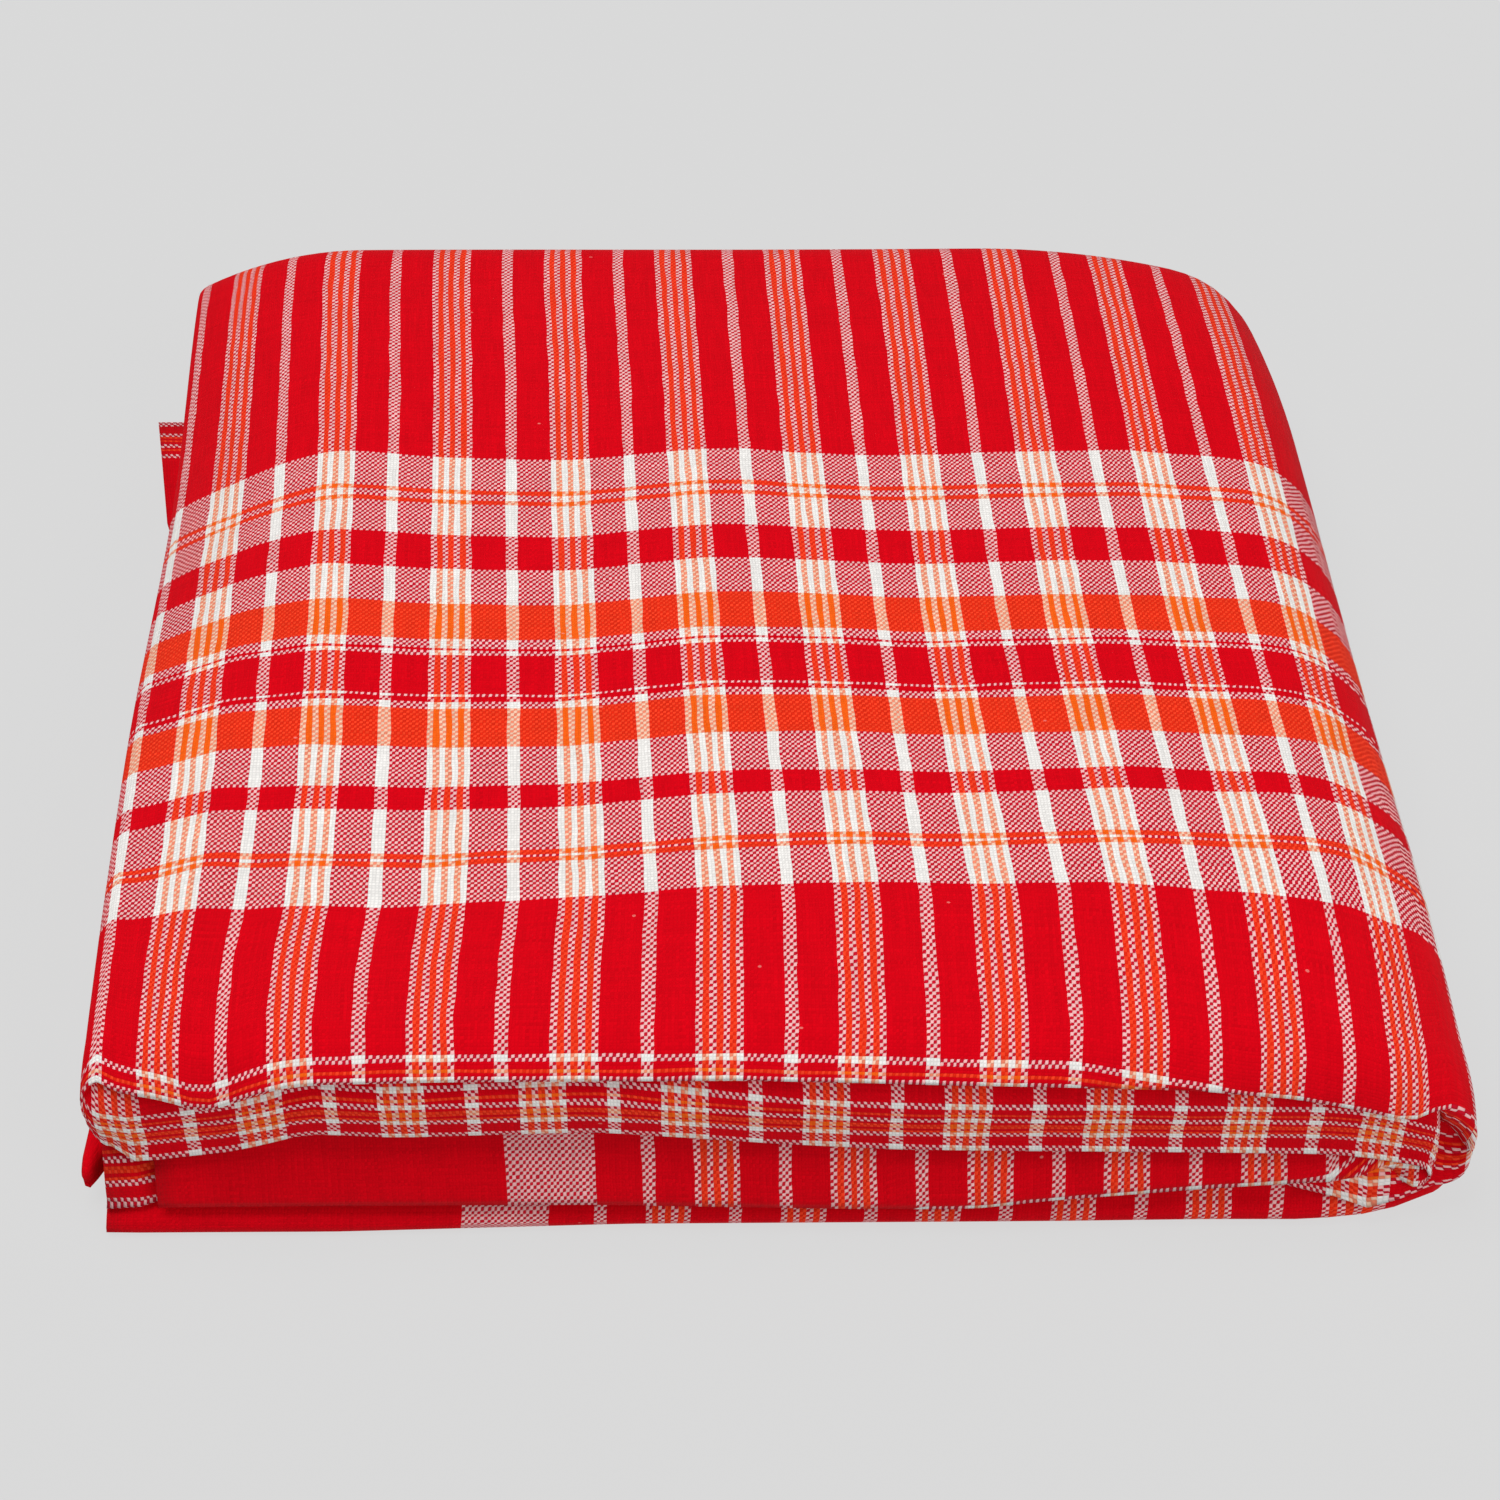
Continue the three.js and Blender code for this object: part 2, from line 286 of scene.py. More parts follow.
def through(table, x):
    """Straight lines through a table of (place, value), carried on past its ends."""
    places, values = np.array(table, float).T
    low = (values[1] - values[0]) / (places[1] - places[0])
    high = (values[-1] - values[-2]) / (places[-1] - places[-2])
    inside = np.interp(x, places, values)
    return inside + low * np.minimum(0, x - places[0]) + high * np.maximum(0, x - places[-1])


def front_path(ply, s):
    """A point s along the cloth from the line where the front edge begins: y and z."""
    radius = layer_z(0, ply) - FRONT_AXIS_Z
    angle = np.minimum(s / radius, math.pi / 2)
    z = FRONT_AXIS_Z + radius * np.cos(angle) - np.maximum(s - radius * math.pi / 2, 0)
    lean = HEM_LEAN * smooth(0, HEM_LEAN_HEIGHT, HEM_LEAN_TOP_Z - z)
    return FRONT_Y - radius * np.sin(angle) - lean, z


def hem_flap(ply, hinge, depth, turned):
    """A point of the last part of the cloth, depth beyond the hinge, swung under by "turned"."""
    y0, z0 = front_path(ply, hinge)
    y1, z1 = front_path(ply, hinge - 0.1)
    length = np.hypot(y0 - y1, z0 - z1)
    # The directions along the cloth and square to it.
    ty, tz = (y0 - y1) / length, (z0 - z1) / length
    ny, nz = -tz, ty
    ay, az = front_path(ply, hinge + depth)
    by, bz = front_path(ply, hinge - depth)
    bend = 2 * HEM_BEND * np.minimum(depth / HEM_BEND_LENGTH, 1.0) ** 0.5
    by, bz = by + ny * bend, bz + nz * bend
    on = np.arctan2((ay - y0) * ny + (az - z0) * nz, (ay - y0) * ty + (az - z0) * tz)
    under = np.arctan2((by - y0) * ny + (bz - z0) * nz, (by - y0) * ty + (bz - z0) * tz)
    angle = on + (under - on) * turned
    reach = np.hypot(ay - y0, az - z0) * (1 - turned) + np.hypot(by - y0, bz - z0) * turned
    c, s = np.cos(angle) * reach, np.sin(angle) * reach
    return y0 + ty * c + ny * s, z0 + tz * c + nz * s


def hem_shape(ply, x):
    """Where the hem begins along the cloth, how deep it is and how far it is turned under."""
    depth, turned = along(HEM_DEPTH[ply], x), along(HEM_TURNED[ply], x)
    return along(HEM_LENGTH[ply], x) - depth * (1 - turned), depth, turned


def stations_along():
    """Steps along the length, from the first cut end to the last one."""
    stations = [{"kind": "flap", "share": 1 - i / FLAP_STEPS} for i in range(FLAP_STEPS)]
    stations += [{"kind": "hang", "share": 1 - i / HANG_STEPS} for i in range(HANG_STEPS)]
    for i in range(TOP_LANE_STEPS):
        y = FRONT_Y + (BACK_FOLD["y"] - FRONT_Y) * i / TOP_LANE_STEPS
        stations.append({"kind": "lane", "lane": 0, "y": y})
    for lane, fold in enumerate(FOLDS):
        for i in range(FOLD_STEPS + 1):
            angle = math.pi * i / FOLD_STEPS
            stations.append({"kind": "fold", "lane": lane, "fold": fold, "angle": angle})
        if lane < len(FOLDS) - 1:
            end = FOLDS[lane + 1]["y"]
            for i in range(1, LOWER_LANE_STEPS):
                y = fold["y"] + (end - fold["y"]) * i / LOWER_LANE_STEPS
                stations.append({"kind": "lane", "lane": lane + 1, "y": y})
    for i in range(1, LOWER_LANE_STEPS + 1):
        stations.append({"kind": "last", "lane": LANES - 1, "share": i / LOWER_LANE_STEPS})
    return stations


def side_point(ply, station, x):
    """The middle of a ply at one step along the length, seen from the side: y and z."""
    if station["kind"] in ("flap", "hang"):
        hinge, depth, turned = hem_shape(ply, x)
        if station["kind"] == "hang":
            return front_path(ply, hinge * station["share"])
        return hem_flap(ply, hinge, depth * station["share"], turned)
    if station["kind"] == "fold":
        fold = station["fold"]
        upper, lower = layer_z(station["lane"], ply), layer_z(station["lane"] + 1, ply)
        radius = (upper - lower) / 2
        reach = radius + fold["stretch"] * (radius - LAYER_PITCH / 2)
        y = fold["y"] + fold["side"] * reach * math.sin(station["angle"])
        z = (upper + lower) / 2 + radius * math.cos(station["angle"])
    elif station["kind"] == "last":
        start = FOLDS[-1]["y"]
        y = start + (BACK_FOLD["y"] + LAST_END[ply] - start) * station["share"]
        z = layer_z(station["lane"], ply)
    else:
        y, z = station["y"], layer_z(station["lane"], ply)
    return np.full_like(x, y), np.full_like(x, z)


def length_along(ply, stations):
    """How far along the cloth a ply's front edge begins, and how far along each step after it is."""
    hinge, depth, _ = hem_shape(ply, np.linspace(-60, 60, 31))
    base = float(np.mean(hinge + depth))
    probe = np.zeros(1)
    lengths, last, total = [], None, base
    for station in stations:
        if station["kind"] in ("flap", "hang"):
            lengths.append(None)
            continue
        y, z = side_point(ply, station, probe)
        point = np.array([y[0], z[0]])
        if last is not None:
            total += float(np.linalg.norm(point - last))
        last = point
        lengths.append(total)
    return base, lengths


def ease_lengths(lengths, stations):
    """The hems are staggered at the front, so the weave is eased on the hidden lanes of each ply
    and ends alike at the back."""
    fixed = next(i for i, station in enumerate(stations) if station["kind"] == "fold")
    total = max(steps[-1] for _, steps in lengths.values())
    for _, steps in lengths.values():
        start, end = steps[fixed], steps[-1]
        for i in range(fixed, len(steps)):
            steps[i] = start + (steps[i] - start) * (total - start) / (end - start)


def line_drift(x, y):
    """How far the weft lines have drifted back at one place on the top lane."""
    share = np.clip((y - NEAR_DRIFT_Y) / (FAR_DRIFT_Y - NEAR_DRIFT_Y), 0, 1)
    drift = along(NEAR_DRIFT, x) * (1 - share) + along(FAR_DRIFT, x) * share
    return drift * smooth(FRONT_Y, NEAR_DRIFT_Y, y) * (1 - smooth(FAR_DRIFT_Y, BACK_FOLD["y"], y))


def cloth_v(ply, station, length, base, x):
    """The place along the cloth, from the true cut end, of the points of one step."""
    hinge, depth, _ = hem_shape(ply, x)
    if station["kind"] == "flap":
        return depth * (1 - station["share"])
    if station["kind"] == "hang":
        return depth + hinge * (1 - station["share"])
    if station["kind"] == "lane" and station["lane"] == 0:
        extra = depth + hinge - base
        ease = 1 - smooth(FRONT_Y, FRONT_Y + HEM_EASE, station["y"])
        return length + extra * ease - line_drift(x, station["y"])
    return np.full_like(x, length)


def side_drop(x, y):
    """How far the edges at the left and the right have rolled off."""
    back = smooth(ROLL_FRONT_Y, ROLL_BACK_Y, y)
    corner = smooth(ROLL_BACK_Y, CORNER_BACK_Y, y)
    left_drop = LEFT_FRONT_DROP + (LEFT_BACK_DROP - LEFT_FRONT_DROP) * back
    left_drop += (LEFT_CORNER_DROP - LEFT_BACK_DROP) * corner
    left = np.maximum(0, (LEFT_ROLL_X - x) / LEFT_ROLL_WIDTH) ** 2 * left_drop
    front_right = np.maximum(0, (x - RIGHT_FRONT_ROLL_X) / RIGHT_FRONT_ROLL_WIDTH) ** 2
    back_right = np.maximum(0, (x - RIGHT_BACK_ROLL_X) / RIGHT_BACK_ROLL_WIDTH) ** 3
    return left + front_right * RIGHT_FRONT_DROP * (1 - back) + back_right * RIGHT_BACK_DROP * back


def crease_height(x, y):
    """How high the creases lie at one place. Each fades out towards its ends."""
    height = np.zeros_like(x)
    for x0, y0, x1, y1, width, rise in CREASES:
        dx, dy = x1 - x0, y1 - y0
        t = np.clip(((x - x0) * dx + (y - y0) * dy) / (dx * dx + dy * dy), 0, 1)
        away = np.hypot(x - x0 - t * dx, y - y0 - t * dy)
        fade = 0.4 + 0.6 * np.sin(math.pi * np.clip(t, 0.02, 0.98))
        height += rise * np.exp(-((away / width) ** 2)) * fade
    return height


def slump(x, y, z):
    """The slump of the whole stack, and its small unevenness."""
    back = np.maximum(0, (y - BACK_SLOPE_Y) / SLOPE_WIDTH)
    front = np.maximum(0, (FRONT_SLOPE_Y - y) / SLOPE_WIDTH)
    right = np.maximum(0, (x - RIGHT_PART_X) / RIGHT_PART_WIDTH) ** 2
    drop = side_drop(x, y) + (BACK_DROP + BACK_RIGHT_DROP * right) * back**2 + FRONT_DROP * front**2
    ripple = 0.45 * np.sin(x / 23 + 0.8) * np.cos(y / 45) + 0.35 * np.sin(x / 41 - y / 60 + 2)
    ripple += FRONT_TILT * x / 60 * np.exp(-(((y + 50) / 28) ** 2))
    scale = 1 + (ripple + crease_height(x, y) - drop) / STACK_HEIGHT
    at_front = smooth(-FRONT_START_Y, -FRONT_END_Y, -y)
    toe = along(TOE_REACH, x) * np.maximum(0, 1 - z / TOE_HEIGHT) * at_front
    toe -= CORNER_REACH * smooth(80, 97, x) * (1 - smooth(0, CORNER_HEIGHT, z)) * at_front
    toe += BACK_ROUNDING * right * smooth(20, BACK_FOLD["y"], y)
    flap = smooth(74, 90, -x) * smooth(FLAP_START_Y, FLAP_START_Y + 9, y)
    flap = flap * (1 - smooth(FLAP_HEIGHT - FLAP_EDGE, FLAP_HEIGHT, z))
    flap_reach = FLAP_REACH + FLAP_BACK_REACH * smooth(50, 88, y)
    taper = 1 - BACK_TAPER * smooth(-20, BACK_FOLD["y"], y) * smooth(-60, 60, -x)
    half = SOLID_CLOTH / 2
    return np.stack([
        (x - flap_reach * flap) * taper - SKEW * y,
        y - toe,
        half + (z - half) * (scale - FLAP_SINK * flap),
    ], axis=-1)


def cloth_grid():
    """The cloth's middle surface, before the slump, and its place along the cloth: arrays of rows."""
    stations = stations_along()
    lengths = {ply: length_along(ply, stations) for ply in range(PLIES)}
    ease_lengths(lengths, stations)
    rows, vs = [], []
    for n, station in enumerate(stations):
        xs, ys, zs, v = [], [], [], []

        def ply_points(ply, x):
            y, z = side_point(ply, station, x)
            base, steps = lengths[ply]
            return y, z, cloth_v(ply, station, steps[n], base, x)

        for strip in ACROSS:
            if strip["kind"] == "panel":
                x = np.linspace(strip["start"], strip["end"], strip["steps"] + 1)
                y, z, along_cloth = ply_points(strip["ply"], x)
            else:
                at = np.array([float(strip["x"])])
                y0, z0, v0 = ply_points(strip["ply"], at)
                y1, z1, v1 = ply_points(strip["next"], at)
                t = np.linspace(0, 1, strip["steps"] + 1)[1:-1]
                c = np.cos(math.pi * t)
                half = np.hypot(y1 - y0, z1 - z0) / 2
                bulge = strip["bulge"] + strip["growth"] * half
                near_front = smooth(-FRONT_START_Y, -TAB_END_Y, -y0)
                if strip["side"] < 0 and station.get("lane", 0) >= TAB_FIRST_LANE:
                    bulge += TAB_REACH * near_front
                if strip["next"] == FOURTH:
                    bulge += CORNER_BULGE * smooth(70, 84, -y0)
                x = strip["x"] + strip["side"] * bulge * np.sin(math.pi * t)
                y = (y0 + y1) / 2 + (y0 - y1) / 2 * c
                z = (z0 + z1) / 2 + (z0 - z1) / 2 * c
                past_turn = smooth(2.3, 5, LEFT_TURN_X - x)
                y = y - TAB_FORWARD * past_turn * near_front
                along_cloth = v0 + (v1 - v0) * t
            xs.append(x)
            ys.append(y)
            zs.append(z)
            v.append(along_cloth)
        rows.append(np.stack([np.concatenate(xs), np.concatenate(ys), np.concatenate(zs)], axis=-1))
        vs.append(np.concatenate(v))
    return np.array(rows), np.array(vs)


def stripe_bend(station, x):
    """How far the stripes of the top ply lie to the right at one step along the length."""
    share = 1.0
    if station["kind"] == "lane" and station["lane"] == 0:
        y = station["y"]
    elif station["kind"] == "hang":
        y, share = FRONT_Y, 1 - station["share"]
    elif station["kind"] == "fold" and station["lane"] == 0:
        y, share = BACK_FOLD["y"], 1 - station["angle"] / math.pi
    else:
        return np.zeros_like(x)
    places = [place for place, _ in STRIPE_BEND]
    bends = [np.interp(y, places, column) for column in np.array([row for _, row in STRIPE_BEND]).T]
    return share * np.interp(x, STRIPE_BEND_PLACES, bends)


def cloth_u():
    """The place across the cloth of each point, from the middle of the left turn."""
    repeats = []
    for strip in ACROSS:
        if strip["kind"] == "panel":
            table = STRIPE_PLACES[strip["ply"]]
            x = np.linspace(strip["start"], strip["end"], strip["steps"] + 1)
            repeats.append(through(table, x) * (-1 if strip["ply"] in (SECOND, THIRD) else 1))
        else:
            repeats.append(None)
    for n, strip in enumerate(ACROSS):
        if strip["kind"] == "turn":
            ends = repeats[n - 1][-1], repeats[n + 1][0]
            repeats[n] = np.linspace(*ends, strip["steps"] + 1)[1:-1]
    panels = [strip["ply"] if strip["kind"] == "panel" else None for strip in ACROSS]
    top = panels.index(TOP)
    before = sum(len(part) for part in repeats[:top])
    x = np.linspace(ACROSS[top]["start"], ACROSS[top]["end"], ACROSS[top]["steps"] + 1)
    stations = stations_along()
    u = np.tile(np.concatenate(repeats) * REPEAT_YARNS * YARN, (len(stations), 1))
    for row, station in zip(u, stations):
        row[before:before + len(x)] -= stripe_bend(station, x)
    return u


def make_cloth():
    """The cloth, its length, and the middle of its outline before it is moved over the origin."""
    flat, v = cloth_grid()
    points = slump(flat[..., 0], flat[..., 1], flat[..., 2])
    u = cloth_u()
    middle = (points.reshape(-1, 3).max(axis=0) + points.reshape(-1, 3).min(axis=0)) / 2
    points[..., 0] -= middle[0]
    points[..., 1] -= middle[1]
    points[..., 2] += CLOTH_THICKNESS / 2 + FLOOR_GAP - points[..., 2].min()
    rows, columns = v.shape
    mesh = bpy.data.meshes.new("gamcha")
    faces = [
        (i * columns + j, i * columns + j + 1, (i + 1) * columns + j + 1, (i + 1) * columns + j)
        for i in range(rows - 1)
        for j in range(columns - 1)
    ]
    mesh.from_pydata((points.reshape(-1, 3) * MM).tolist(), [], faces)
    layer = mesh.uv_layers.new(name="cloth")
    loops = np.empty(len(mesh.loops), np.int32)
    mesh.loops.foreach_get("vertex_index", loops)
    uv = np.stack([u.ravel()[loops], v.ravel()[loops]], axis=-1)
    layer.data.foreach_set("uv", uv.astype(np.float32).ravel())
    mesh.polygons.foreach_set("use_smooth", np.ones(len(faces), bool))
    cloth = bpy.data.objects.new("gamcha", mesh)
    bpy.context.scene.collection.objects.link(cloth)
    solid = cloth.modifiers.new("thickness", "SOLIDIFY")
    solid.thickness = CLOTH_THICKNESS * MM
    solid.offset = 0
    return cloth, float(v.max()), middle


class Nodes:
    """Short names for building a node tree."""

    def __init__(self, tree):
        self.tree = tree
        tree.nodes.clear()

    def add(self, kind, **settings):
        node = self.tree.nodes.new(kind)
        for name, value in settings.items():
            setattr(node, name, value)
        return node

    def put(self, socket, value):
        if hasattr(value, "is_output"):
            self.tree.links.new(value, socket)
        else:
            socket.default_value = value

    def math(self, operation, a, b=0.0, c=0.0):
        node = self.add("ShaderNodeMath", operation=operation)
        for socket, value in zip(node.inputs, (a, b, c)):
            self.put(socket, value)
        return node.outputs[0]

    def ramp(self, factor, stops):
        """A colour that changes in steps. Stops: place, colour."""
        node = self.add("ShaderNodeValToRGB")
        node.color_ramp.interpolation = "CONSTANT"
        elements = node.color_ramp.elements
        while len(elements) > 1:
            elements.remove(elements[-1])
        elements[0].position, elements[0].color = stops[0]
        for position, colour in stops[1:]:
            elements.new(position).color = colour
        self.put(node.inputs[0], factor)
        return node.outputs[0]

    def steps(self, factor, stops):
        """A number that changes in steps. Stops: place, value."""
        return self.ramp(factor, [(place, (value, value, value, 1)) for place, value in stops])

    def blend(self, factor, a, b):
        """A number between a and b."""
        node = self.add("ShaderNodeMix", data_type="FLOAT")
        self.put(node.inputs[0], factor)
        self.put(node.inputs[2], a)
        self.put(node.inputs[3], b)
        return node.outputs[0]

    def grey(self, value):
        node = self.add("ShaderNodeCombineColor")
        for socket in node.inputs:
            self.put(socket, value)
        return node.outputs[0]

    def mix(self, factor, a, b, blend="MIX"):
        node = self.add("ShaderNodeMix", data_type="RGBA", blend_type=blend)
        self.put(node.inputs["Factor"], factor)
        self.put(node.inputs[6], a)
        self.put(node.inputs[7], b)
        return node.outputs[2]

    def point(self, x, y):
        node = self.add("ShaderNodeCombineXYZ")
        self.put(node.inputs[0], x)
        self.put(node.inputs[1], y)
        return node.outputs[0]

    def noise(self, x, y):
        node = self.add("ShaderNodeTexNoise", noise_dimensions="2D")
        self.put(node.inputs["Vector"], self.point(x, y))
        self.put(node.inputs["Scale"], 1.0)
        self.put(node.inputs["Detail"], 2.0)
        return node.outputs["Fac"]


def linear(r, g, b):
    """An sRGB colour of 0 to 255 as a linear one."""
    values = [v / 255 for v in (r, g, b)]
    return tuple(v / 12.92 if v <= 0.04045 else ((v + 0.055) / 1.055) ** 2.4 for v in values) + (1.0,)


# The dyes. The node tree carries them as numbers from 0 to 1.
DYES = 3
RED, ORANGE, WHITE = range(DYES)
LAST_DYE = DYES - 1

# How a yarn looks where it crosses another: painted bounce light from the yarn below tints it with
# that dye, and a dark yarn beside a pale one gets painted shade and looks deeper.
# Columns: dye on top, dye below, colour with this painted light and shade, how much painted shade
# falls in the gaps between yarns.
CROSSINGS = [
    (RED, RED, linear(214, 2, 20), 0.06),
    (RED, ORANGE, linear(230, 42, 18), 0.20),
    (RED, WHITE, linear(205, 18, 42), 0.30),
    (ORANGE, RED, linear(248, 66, 36), 0.10),
    (ORANGE, ORANGE, linear(248, 98, 22), 0.12),
    (ORANGE, WHITE, linear(245, 138, 108), 0.20),
    (WHITE, RED, linear(249, 189, 189), 0.23),
    (WHITE, ORANGE, linear(250, 203, 176), 0.24),
    (WHITE, WHITE, linear(244, 241, 237), 0.22),
]

# The warp of one repeat, and of the border beside the selvage. Columns: first yarn, dye. The border
# begins at this yarn from the middle line.
STRIPES = [(0, WHITE), (2, RED), (14, WHITE), (16, ORANGE), (18, WHITE), (20, ORANGE), (22, WHITE),
           (24, ORANGE), (26, WHITE), (28, RED), (40, WHITE)]
BORDER_START = 674.0
BORDER_YARNS = 151.0
BORDER = [(0, RED), (14, WHITE), (41, RED)]

# The weft of the border at the cut end, which is followed up to this depth, and of the bands after
# it. Columns: where each band ends, in millimetres from the cut end, and its dye. Past the last one
# the weft is red, and BAND_SPAN is the length that the table is spread over.
END_BORDER = [
    (0.95, WHITE), (3.0, RED), (3.9, WHITE), (4.4, ORANGE), (4.9, RED), (5.5, ORANGE), (6.0, RED),
    (6.95, WHITE), (7.5, RED), (8.0, ORANGE), (9.0, RED), (9.95, WHITE),
]
END_BORDER_DEPTH = 20.0
BANDS = [
    (34.9, RED), (41.8, WHITE), (42.8, ORANGE), (43.7, WHITE), (44.7, ORANGE),
    (52.1, WHITE), (57.2, RED), (64.1, WHITE), (72.0, ORANGE), (73.3, WHITE), (74.4, RED),
    (75.0, WHITE), (82.9, RED), (83.9, WHITE), (84.4, RED), (86.2, WHITE), (93.5, ORANGE),
    (101.1, WHITE), (108.9, RED), (116.1, WHITE), (117.1, ORANGE), (118.2, WHITE), (119.2, ORANGE),
    (127.3, WHITE),
]
BAND_SPAN = 132.0


def checked_cotton(total_length):
    """Plain-woven cotton: each cell shows its warp yarn or its weft pick by turns."""
    material = bpy.data.materials.new("checked_cotton")
    material.use_nodes = True
    n = Nodes(material.node_tree)
    uv = n.add("ShaderNodeUVMap", uv_map="cloth")
    split = n.add("ShaderNodeSeparateXYZ")
    n.put(split.inputs[0], uv.outputs[0])
    u, v = split.outputs[0], split.outputs[1]

    # The yarns wander a little, the warp more slowly than the weft.
    warp_drift = n.noise(n.math("MULTIPLY", u, 0.45), n.math("MULTIPLY", v, 0.16))
    weft_drift = n.noise(n.math("MULTIPLY", u, 0.10), n.math("MULTIPLY", v, 0.55))
    u = n.math("ADD", u, n.math("MULTIPLY_ADD", warp_drift, WANDER, -WANDER / 2))
    v = n.math("ADD", v, n.math("MULTIPLY_ADD", weft_drift, WANDER, -WANDER / 2))
    yarn = n.math("DIVIDE", u, YARN)
    pick = n.math("DIVIDE", v, PICK)
    yarn_number = n.math("FLOOR", yarn)
    pick_number = n.math("FLOOR", pick)

    # Warp dyes, the same on both sides of the cloth's middle line.
    away = n.math("ABSOLUTE", n.math("ADD", yarn_number, 0.5))
    repeat = n.math("DIVIDE", n.math("MODULO", away, REPEAT_YARNS), REPEAT_YARNS)
    stripes = n.steps(repeat, [(yarns / REPEAT_YARNS, dye / LAST_DYE) for yarns, dye in STRIPES])
    edge = n.math("DIVIDE", n.math("SUBTRACT", away, BORDER_START), BORDER_YARNS)
    border = n.steps(edge, [(yarns / BORDER_YARNS, dye / LAST_DYE) for yarns, dye in BORDER])
    in_border = n.math("GREATER_THAN", away, BORDER_START)
    warp = n.blend(in_border, stripes, border)

    # Weft dyes, the same from both cut ends.
    row = n.math("MULTIPLY", n.math("ADD", pick_number, 0.5), PICK)
    from_end = n.math("MINIMUM", row, n.math("SUBTRACT", total_length, row))
    weft_parts = []
    for table, span in ((END_BORDER, END_BORDER_DEPTH), (BANDS, BAND_SPAN)):
        starts = [0.0] + [end for end, _ in table]
        dyes = [dye for _, dye in table] + [RED]
        stops = [(start / span, dye / LAST_DYE) for start, dye in zip(starts, dyes)]
        weft_parts.append(n.steps(n.math("DIVIDE", from_end, span), stops))
    past_border = n.math("GREATER_THAN", from_end, END_BORDER_DEPTH)
    weft = n.blend(past_border, *weft_parts)

    # Plain weave: warp over weft in every second cell. The cells on one diagonal run together.
    one_way = n.math("COSINE", n.math("MULTIPLY", n.math("SUBTRACT", yarn, pick), math.pi))
    other_way = n.math("COSINE", n.math("MULTIPLY", n.math("ADD", yarn, pick), math.pi))
    relief = n.math("SUBTRACT", n.math("MULTIPLY", one_way, 0.5 + DIAGONAL),
                    n.math("MULTIPLY", other_way, 0.5 - DIAGONAL))
    weft_over = n.math("LESS_THAN", relief, WEFT_SHARE)
    top = n.blend(weft_over, warp, weft)
    below = n.blend(weft_over, weft, warp)
    pairs = DYES * DYES
    pair = n.math("DIVIDE", n.math("ADD", n.math("MULTIPLY_ADD", top, DYES * LAST_DYE, 0.5),
                                   n.math("MULTIPLY", below, LAST_DYE)), pairs)
    places = [(DYES * over + under) / pairs for over, under, _, _ in CROSSINGS]
    # Each crossing's colour: its two dyes with painted bounce light and painted shade.
    dye = n.ramp(pair, list(zip(places, [colour for _, _, colour, _ in CROSSINGS])))
    # How much painted shade falls in the gaps of each crossing.
    painted_gap_shade_depth = n.steps(pair, list(zip(places, [depth for _, _, _, depth in CROSSINGS])))

    # Each yarn is round, and passes under its neighbours. Where its relief is low, in the gaps
    # between yarns, painted shade darkens it.
    height = n.math("POWER", n.math("ABSOLUTE", relief), 0.6)
    painted_gap_shade = n.math("MULTIPLY", painted_gap_shade_depth, n.math("SUBTRACT", 1.0, height))

    # Uneven yarns: long streaks along each warp yarn and each pick, and a few paler slubs.
    across_streak, along_streak = 3.7, 0.12
    warp_streak = n.noise(
        n.math("MULTIPLY", yarn_number, across_streak), n.math("MULTIPLY", v, along_streak))
    weft_streak = n.noise(
        n.math("MULTIPLY", u, along_streak), n.math("MULTIPLY", pick_number, across_streak))
    streak = n.blend(weft_over, warp_streak, weft_streak)
    tone = n.math("MULTIPLY_ADD", streak, 0.44, 0.78)
    # The yarns' own random streak tone, times the painted shade in the gaps.
    streak_tone_and_gap_shade = n.math("MULTIPLY", tone, n.math("SUBTRACT", 1.0, painted_gap_shade))
    streaked_and_gap_shaded = n.mix(1.0, dye, n.grey(streak_tone_and_gap_shade), "MULTIPLY")
    speck = n.add("ShaderNodeTexVoronoi", voronoi_dimensions="2D")
    n.put(speck.inputs["Vector"], n.point(u, n.math("MULTIPLY", v, 1.6)))
    n.put(speck.inputs["Scale"], 0.022)
    slub = n.math("LESS_THAN", speck.outputs["Distance"], 0.006)
    surface = n.mix(n.math("MULTIPLY", slub, 0.3), streaked_and_gap_shaded, linear(255, 190, 180))

    bump = n.add("ShaderNodeBump")
    bump.inputs["Strength"].default_value = 0.5
    bump.inputs["Distance"].default_value = 0.0001
    n.put(bump.inputs["Height"], height)

    shader = n.add("ShaderNodeBsdfPrincipled")
    n.put(shader.inputs["Base Color"], surface)
    shader.inputs["Roughness"].default_value = 0.95
    shader.inputs["Specular IOR Level"].default_value = 0.03
    shader.inputs["Sheen Weight"].default_value = 0.02
    shader.inputs["Sheen Roughness"].default_value = 0.5
    n.put(shader.inputs["Normal"], bump.outputs[0])
    out = n.add("ShaderNodeOutputMaterial")
    n.put(out.inputs[0], shader.outputs[0])
    return material


cloth, cloth_length, cloth_middle = make_cloth()
cloth.data.materials.append(checked_cotton(cloth_length))
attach(cloth, "root")
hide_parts("gamcha_cloth")

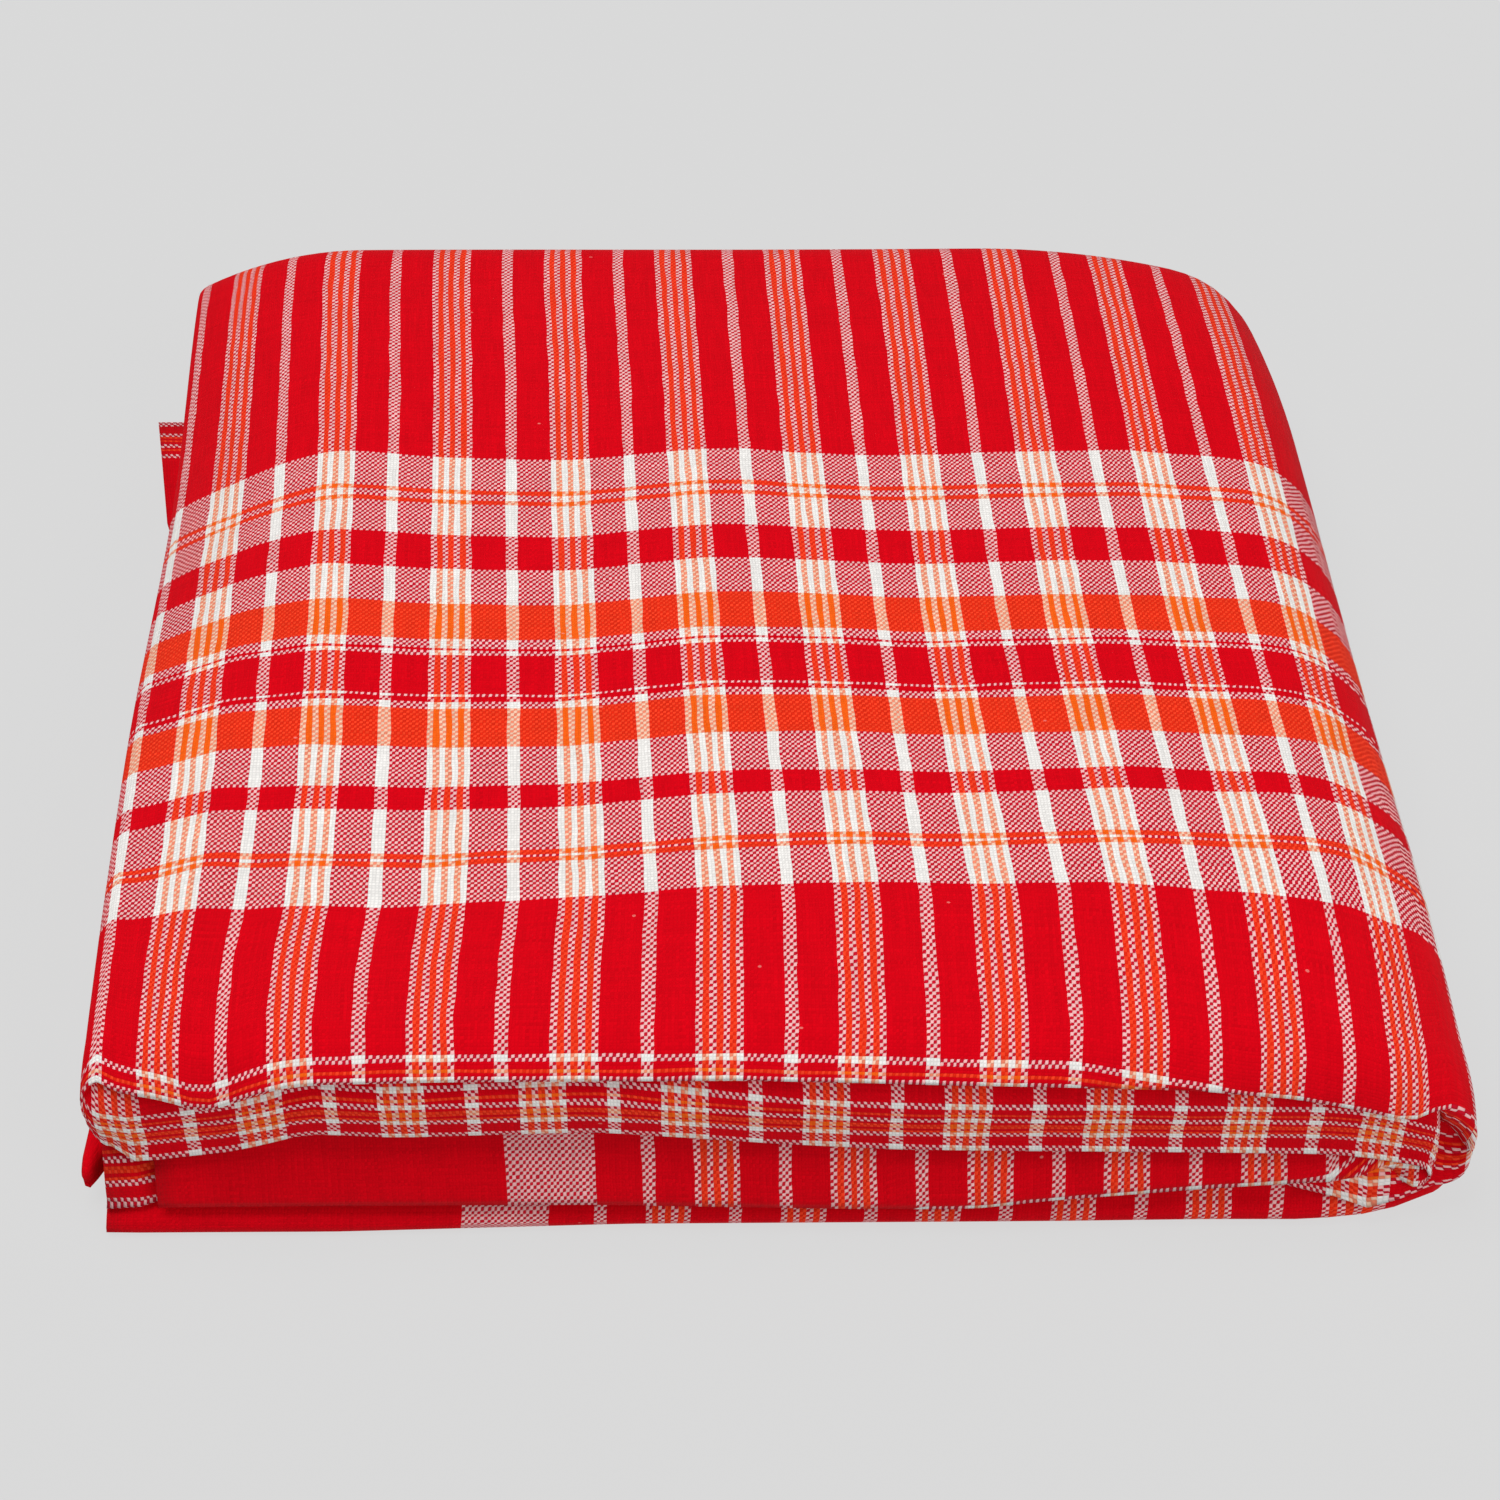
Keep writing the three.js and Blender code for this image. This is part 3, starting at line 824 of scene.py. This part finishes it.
# The floor is as pale as the light around it.
PALE = linear(217, 217, 217)
floor_mesh = bpy.data.meshes.new("floor")
SPAN = 40.0
corners = [(-SPAN, -SPAN, 0), (SPAN, -SPAN, 0), (SPAN, SPAN, 0), (-SPAN, SPAN, 0)]
floor_mesh.from_pydata(corners, [], [(0, 1, 2, 3)])
floor = bpy.data.objects.new("floor", floor_mesh)
bpy.context.scene.collection.objects.link(floor)
floor_material = bpy.data.materials.new("pale_floor")
floor_material.use_nodes = True
floor_shader = floor_material.node_tree.nodes["Principled BSDF"]
floor_shader.inputs["Base Color"].default_value = (0.05, 0.05, 0.05, 1)
floor_shader.inputs["Roughness"].default_value = 1.0
floor_shader.inputs["Specular IOR Level"].default_value = 0.0
floor_shader.inputs["Emission Color"].default_value = PALE
floor_shader.inputs["Emission Strength"].default_value = 0.93
floor_mesh.materials.append(floor_material)

world = bpy.data.worlds.new("studio")
world.use_nodes = True
world.node_tree.nodes["Background"].inputs[0].default_value = PALE
world.node_tree.nodes["Background"].inputs[1].default_value = 0.30
bpy.context.scene.world = world

# Soft studio lights. Columns: name, place and size in metres, watts.
LIGHTS = [
    ("key_light", (-0.30, 0.05, 1.15), 0.8, 10.7),
    ("fill_light", (0.70, -0.65, 0.65), 0.9, 4.8),
]
for name, place, size, watts in LIGHTS:
    data = bpy.data.lights.new(name, "AREA")
    data.shape = "DISK"
    data.size = size
    data.energy = watts
    light = bpy.data.objects.new(name, data)
    light.location = place
    light.rotation_euler = (-Vector(place)).to_track_quat("-Z", "Y").to_euler()
    bpy.context.scene.collection.objects.link(light)

# The camera looks down at the front of the towel, by this many degrees. Its place is in
# millimetres, before the cloth is moved over the origin.
CAMERA_PITCH = 47.0
CAMERA_X, CAMERA_Y, CAMERA_Z = 1.3, -320.4, 347.0
camera_data = bpy.data.cameras.new("camera")
camera_data.lens = 71.2
camera_data.sensor_width = 36.0
camera_data.clip_start = 0.01
camera = bpy.data.objects.new("camera", camera_data)
middle_x, middle_y = cloth_middle[:2]
camera.location = ((CAMERA_X - middle_x) * MM, (CAMERA_Y - middle_y) * MM, CAMERA_Z * MM)
camera.rotation_euler = (math.radians(90 - CAMERA_PITCH), 0, 0)
bpy.context.scene.collection.objects.link(camera)
bpy.context.scene.camera = camera
bpy.context.scene.view_settings.view_transform = "Standard"
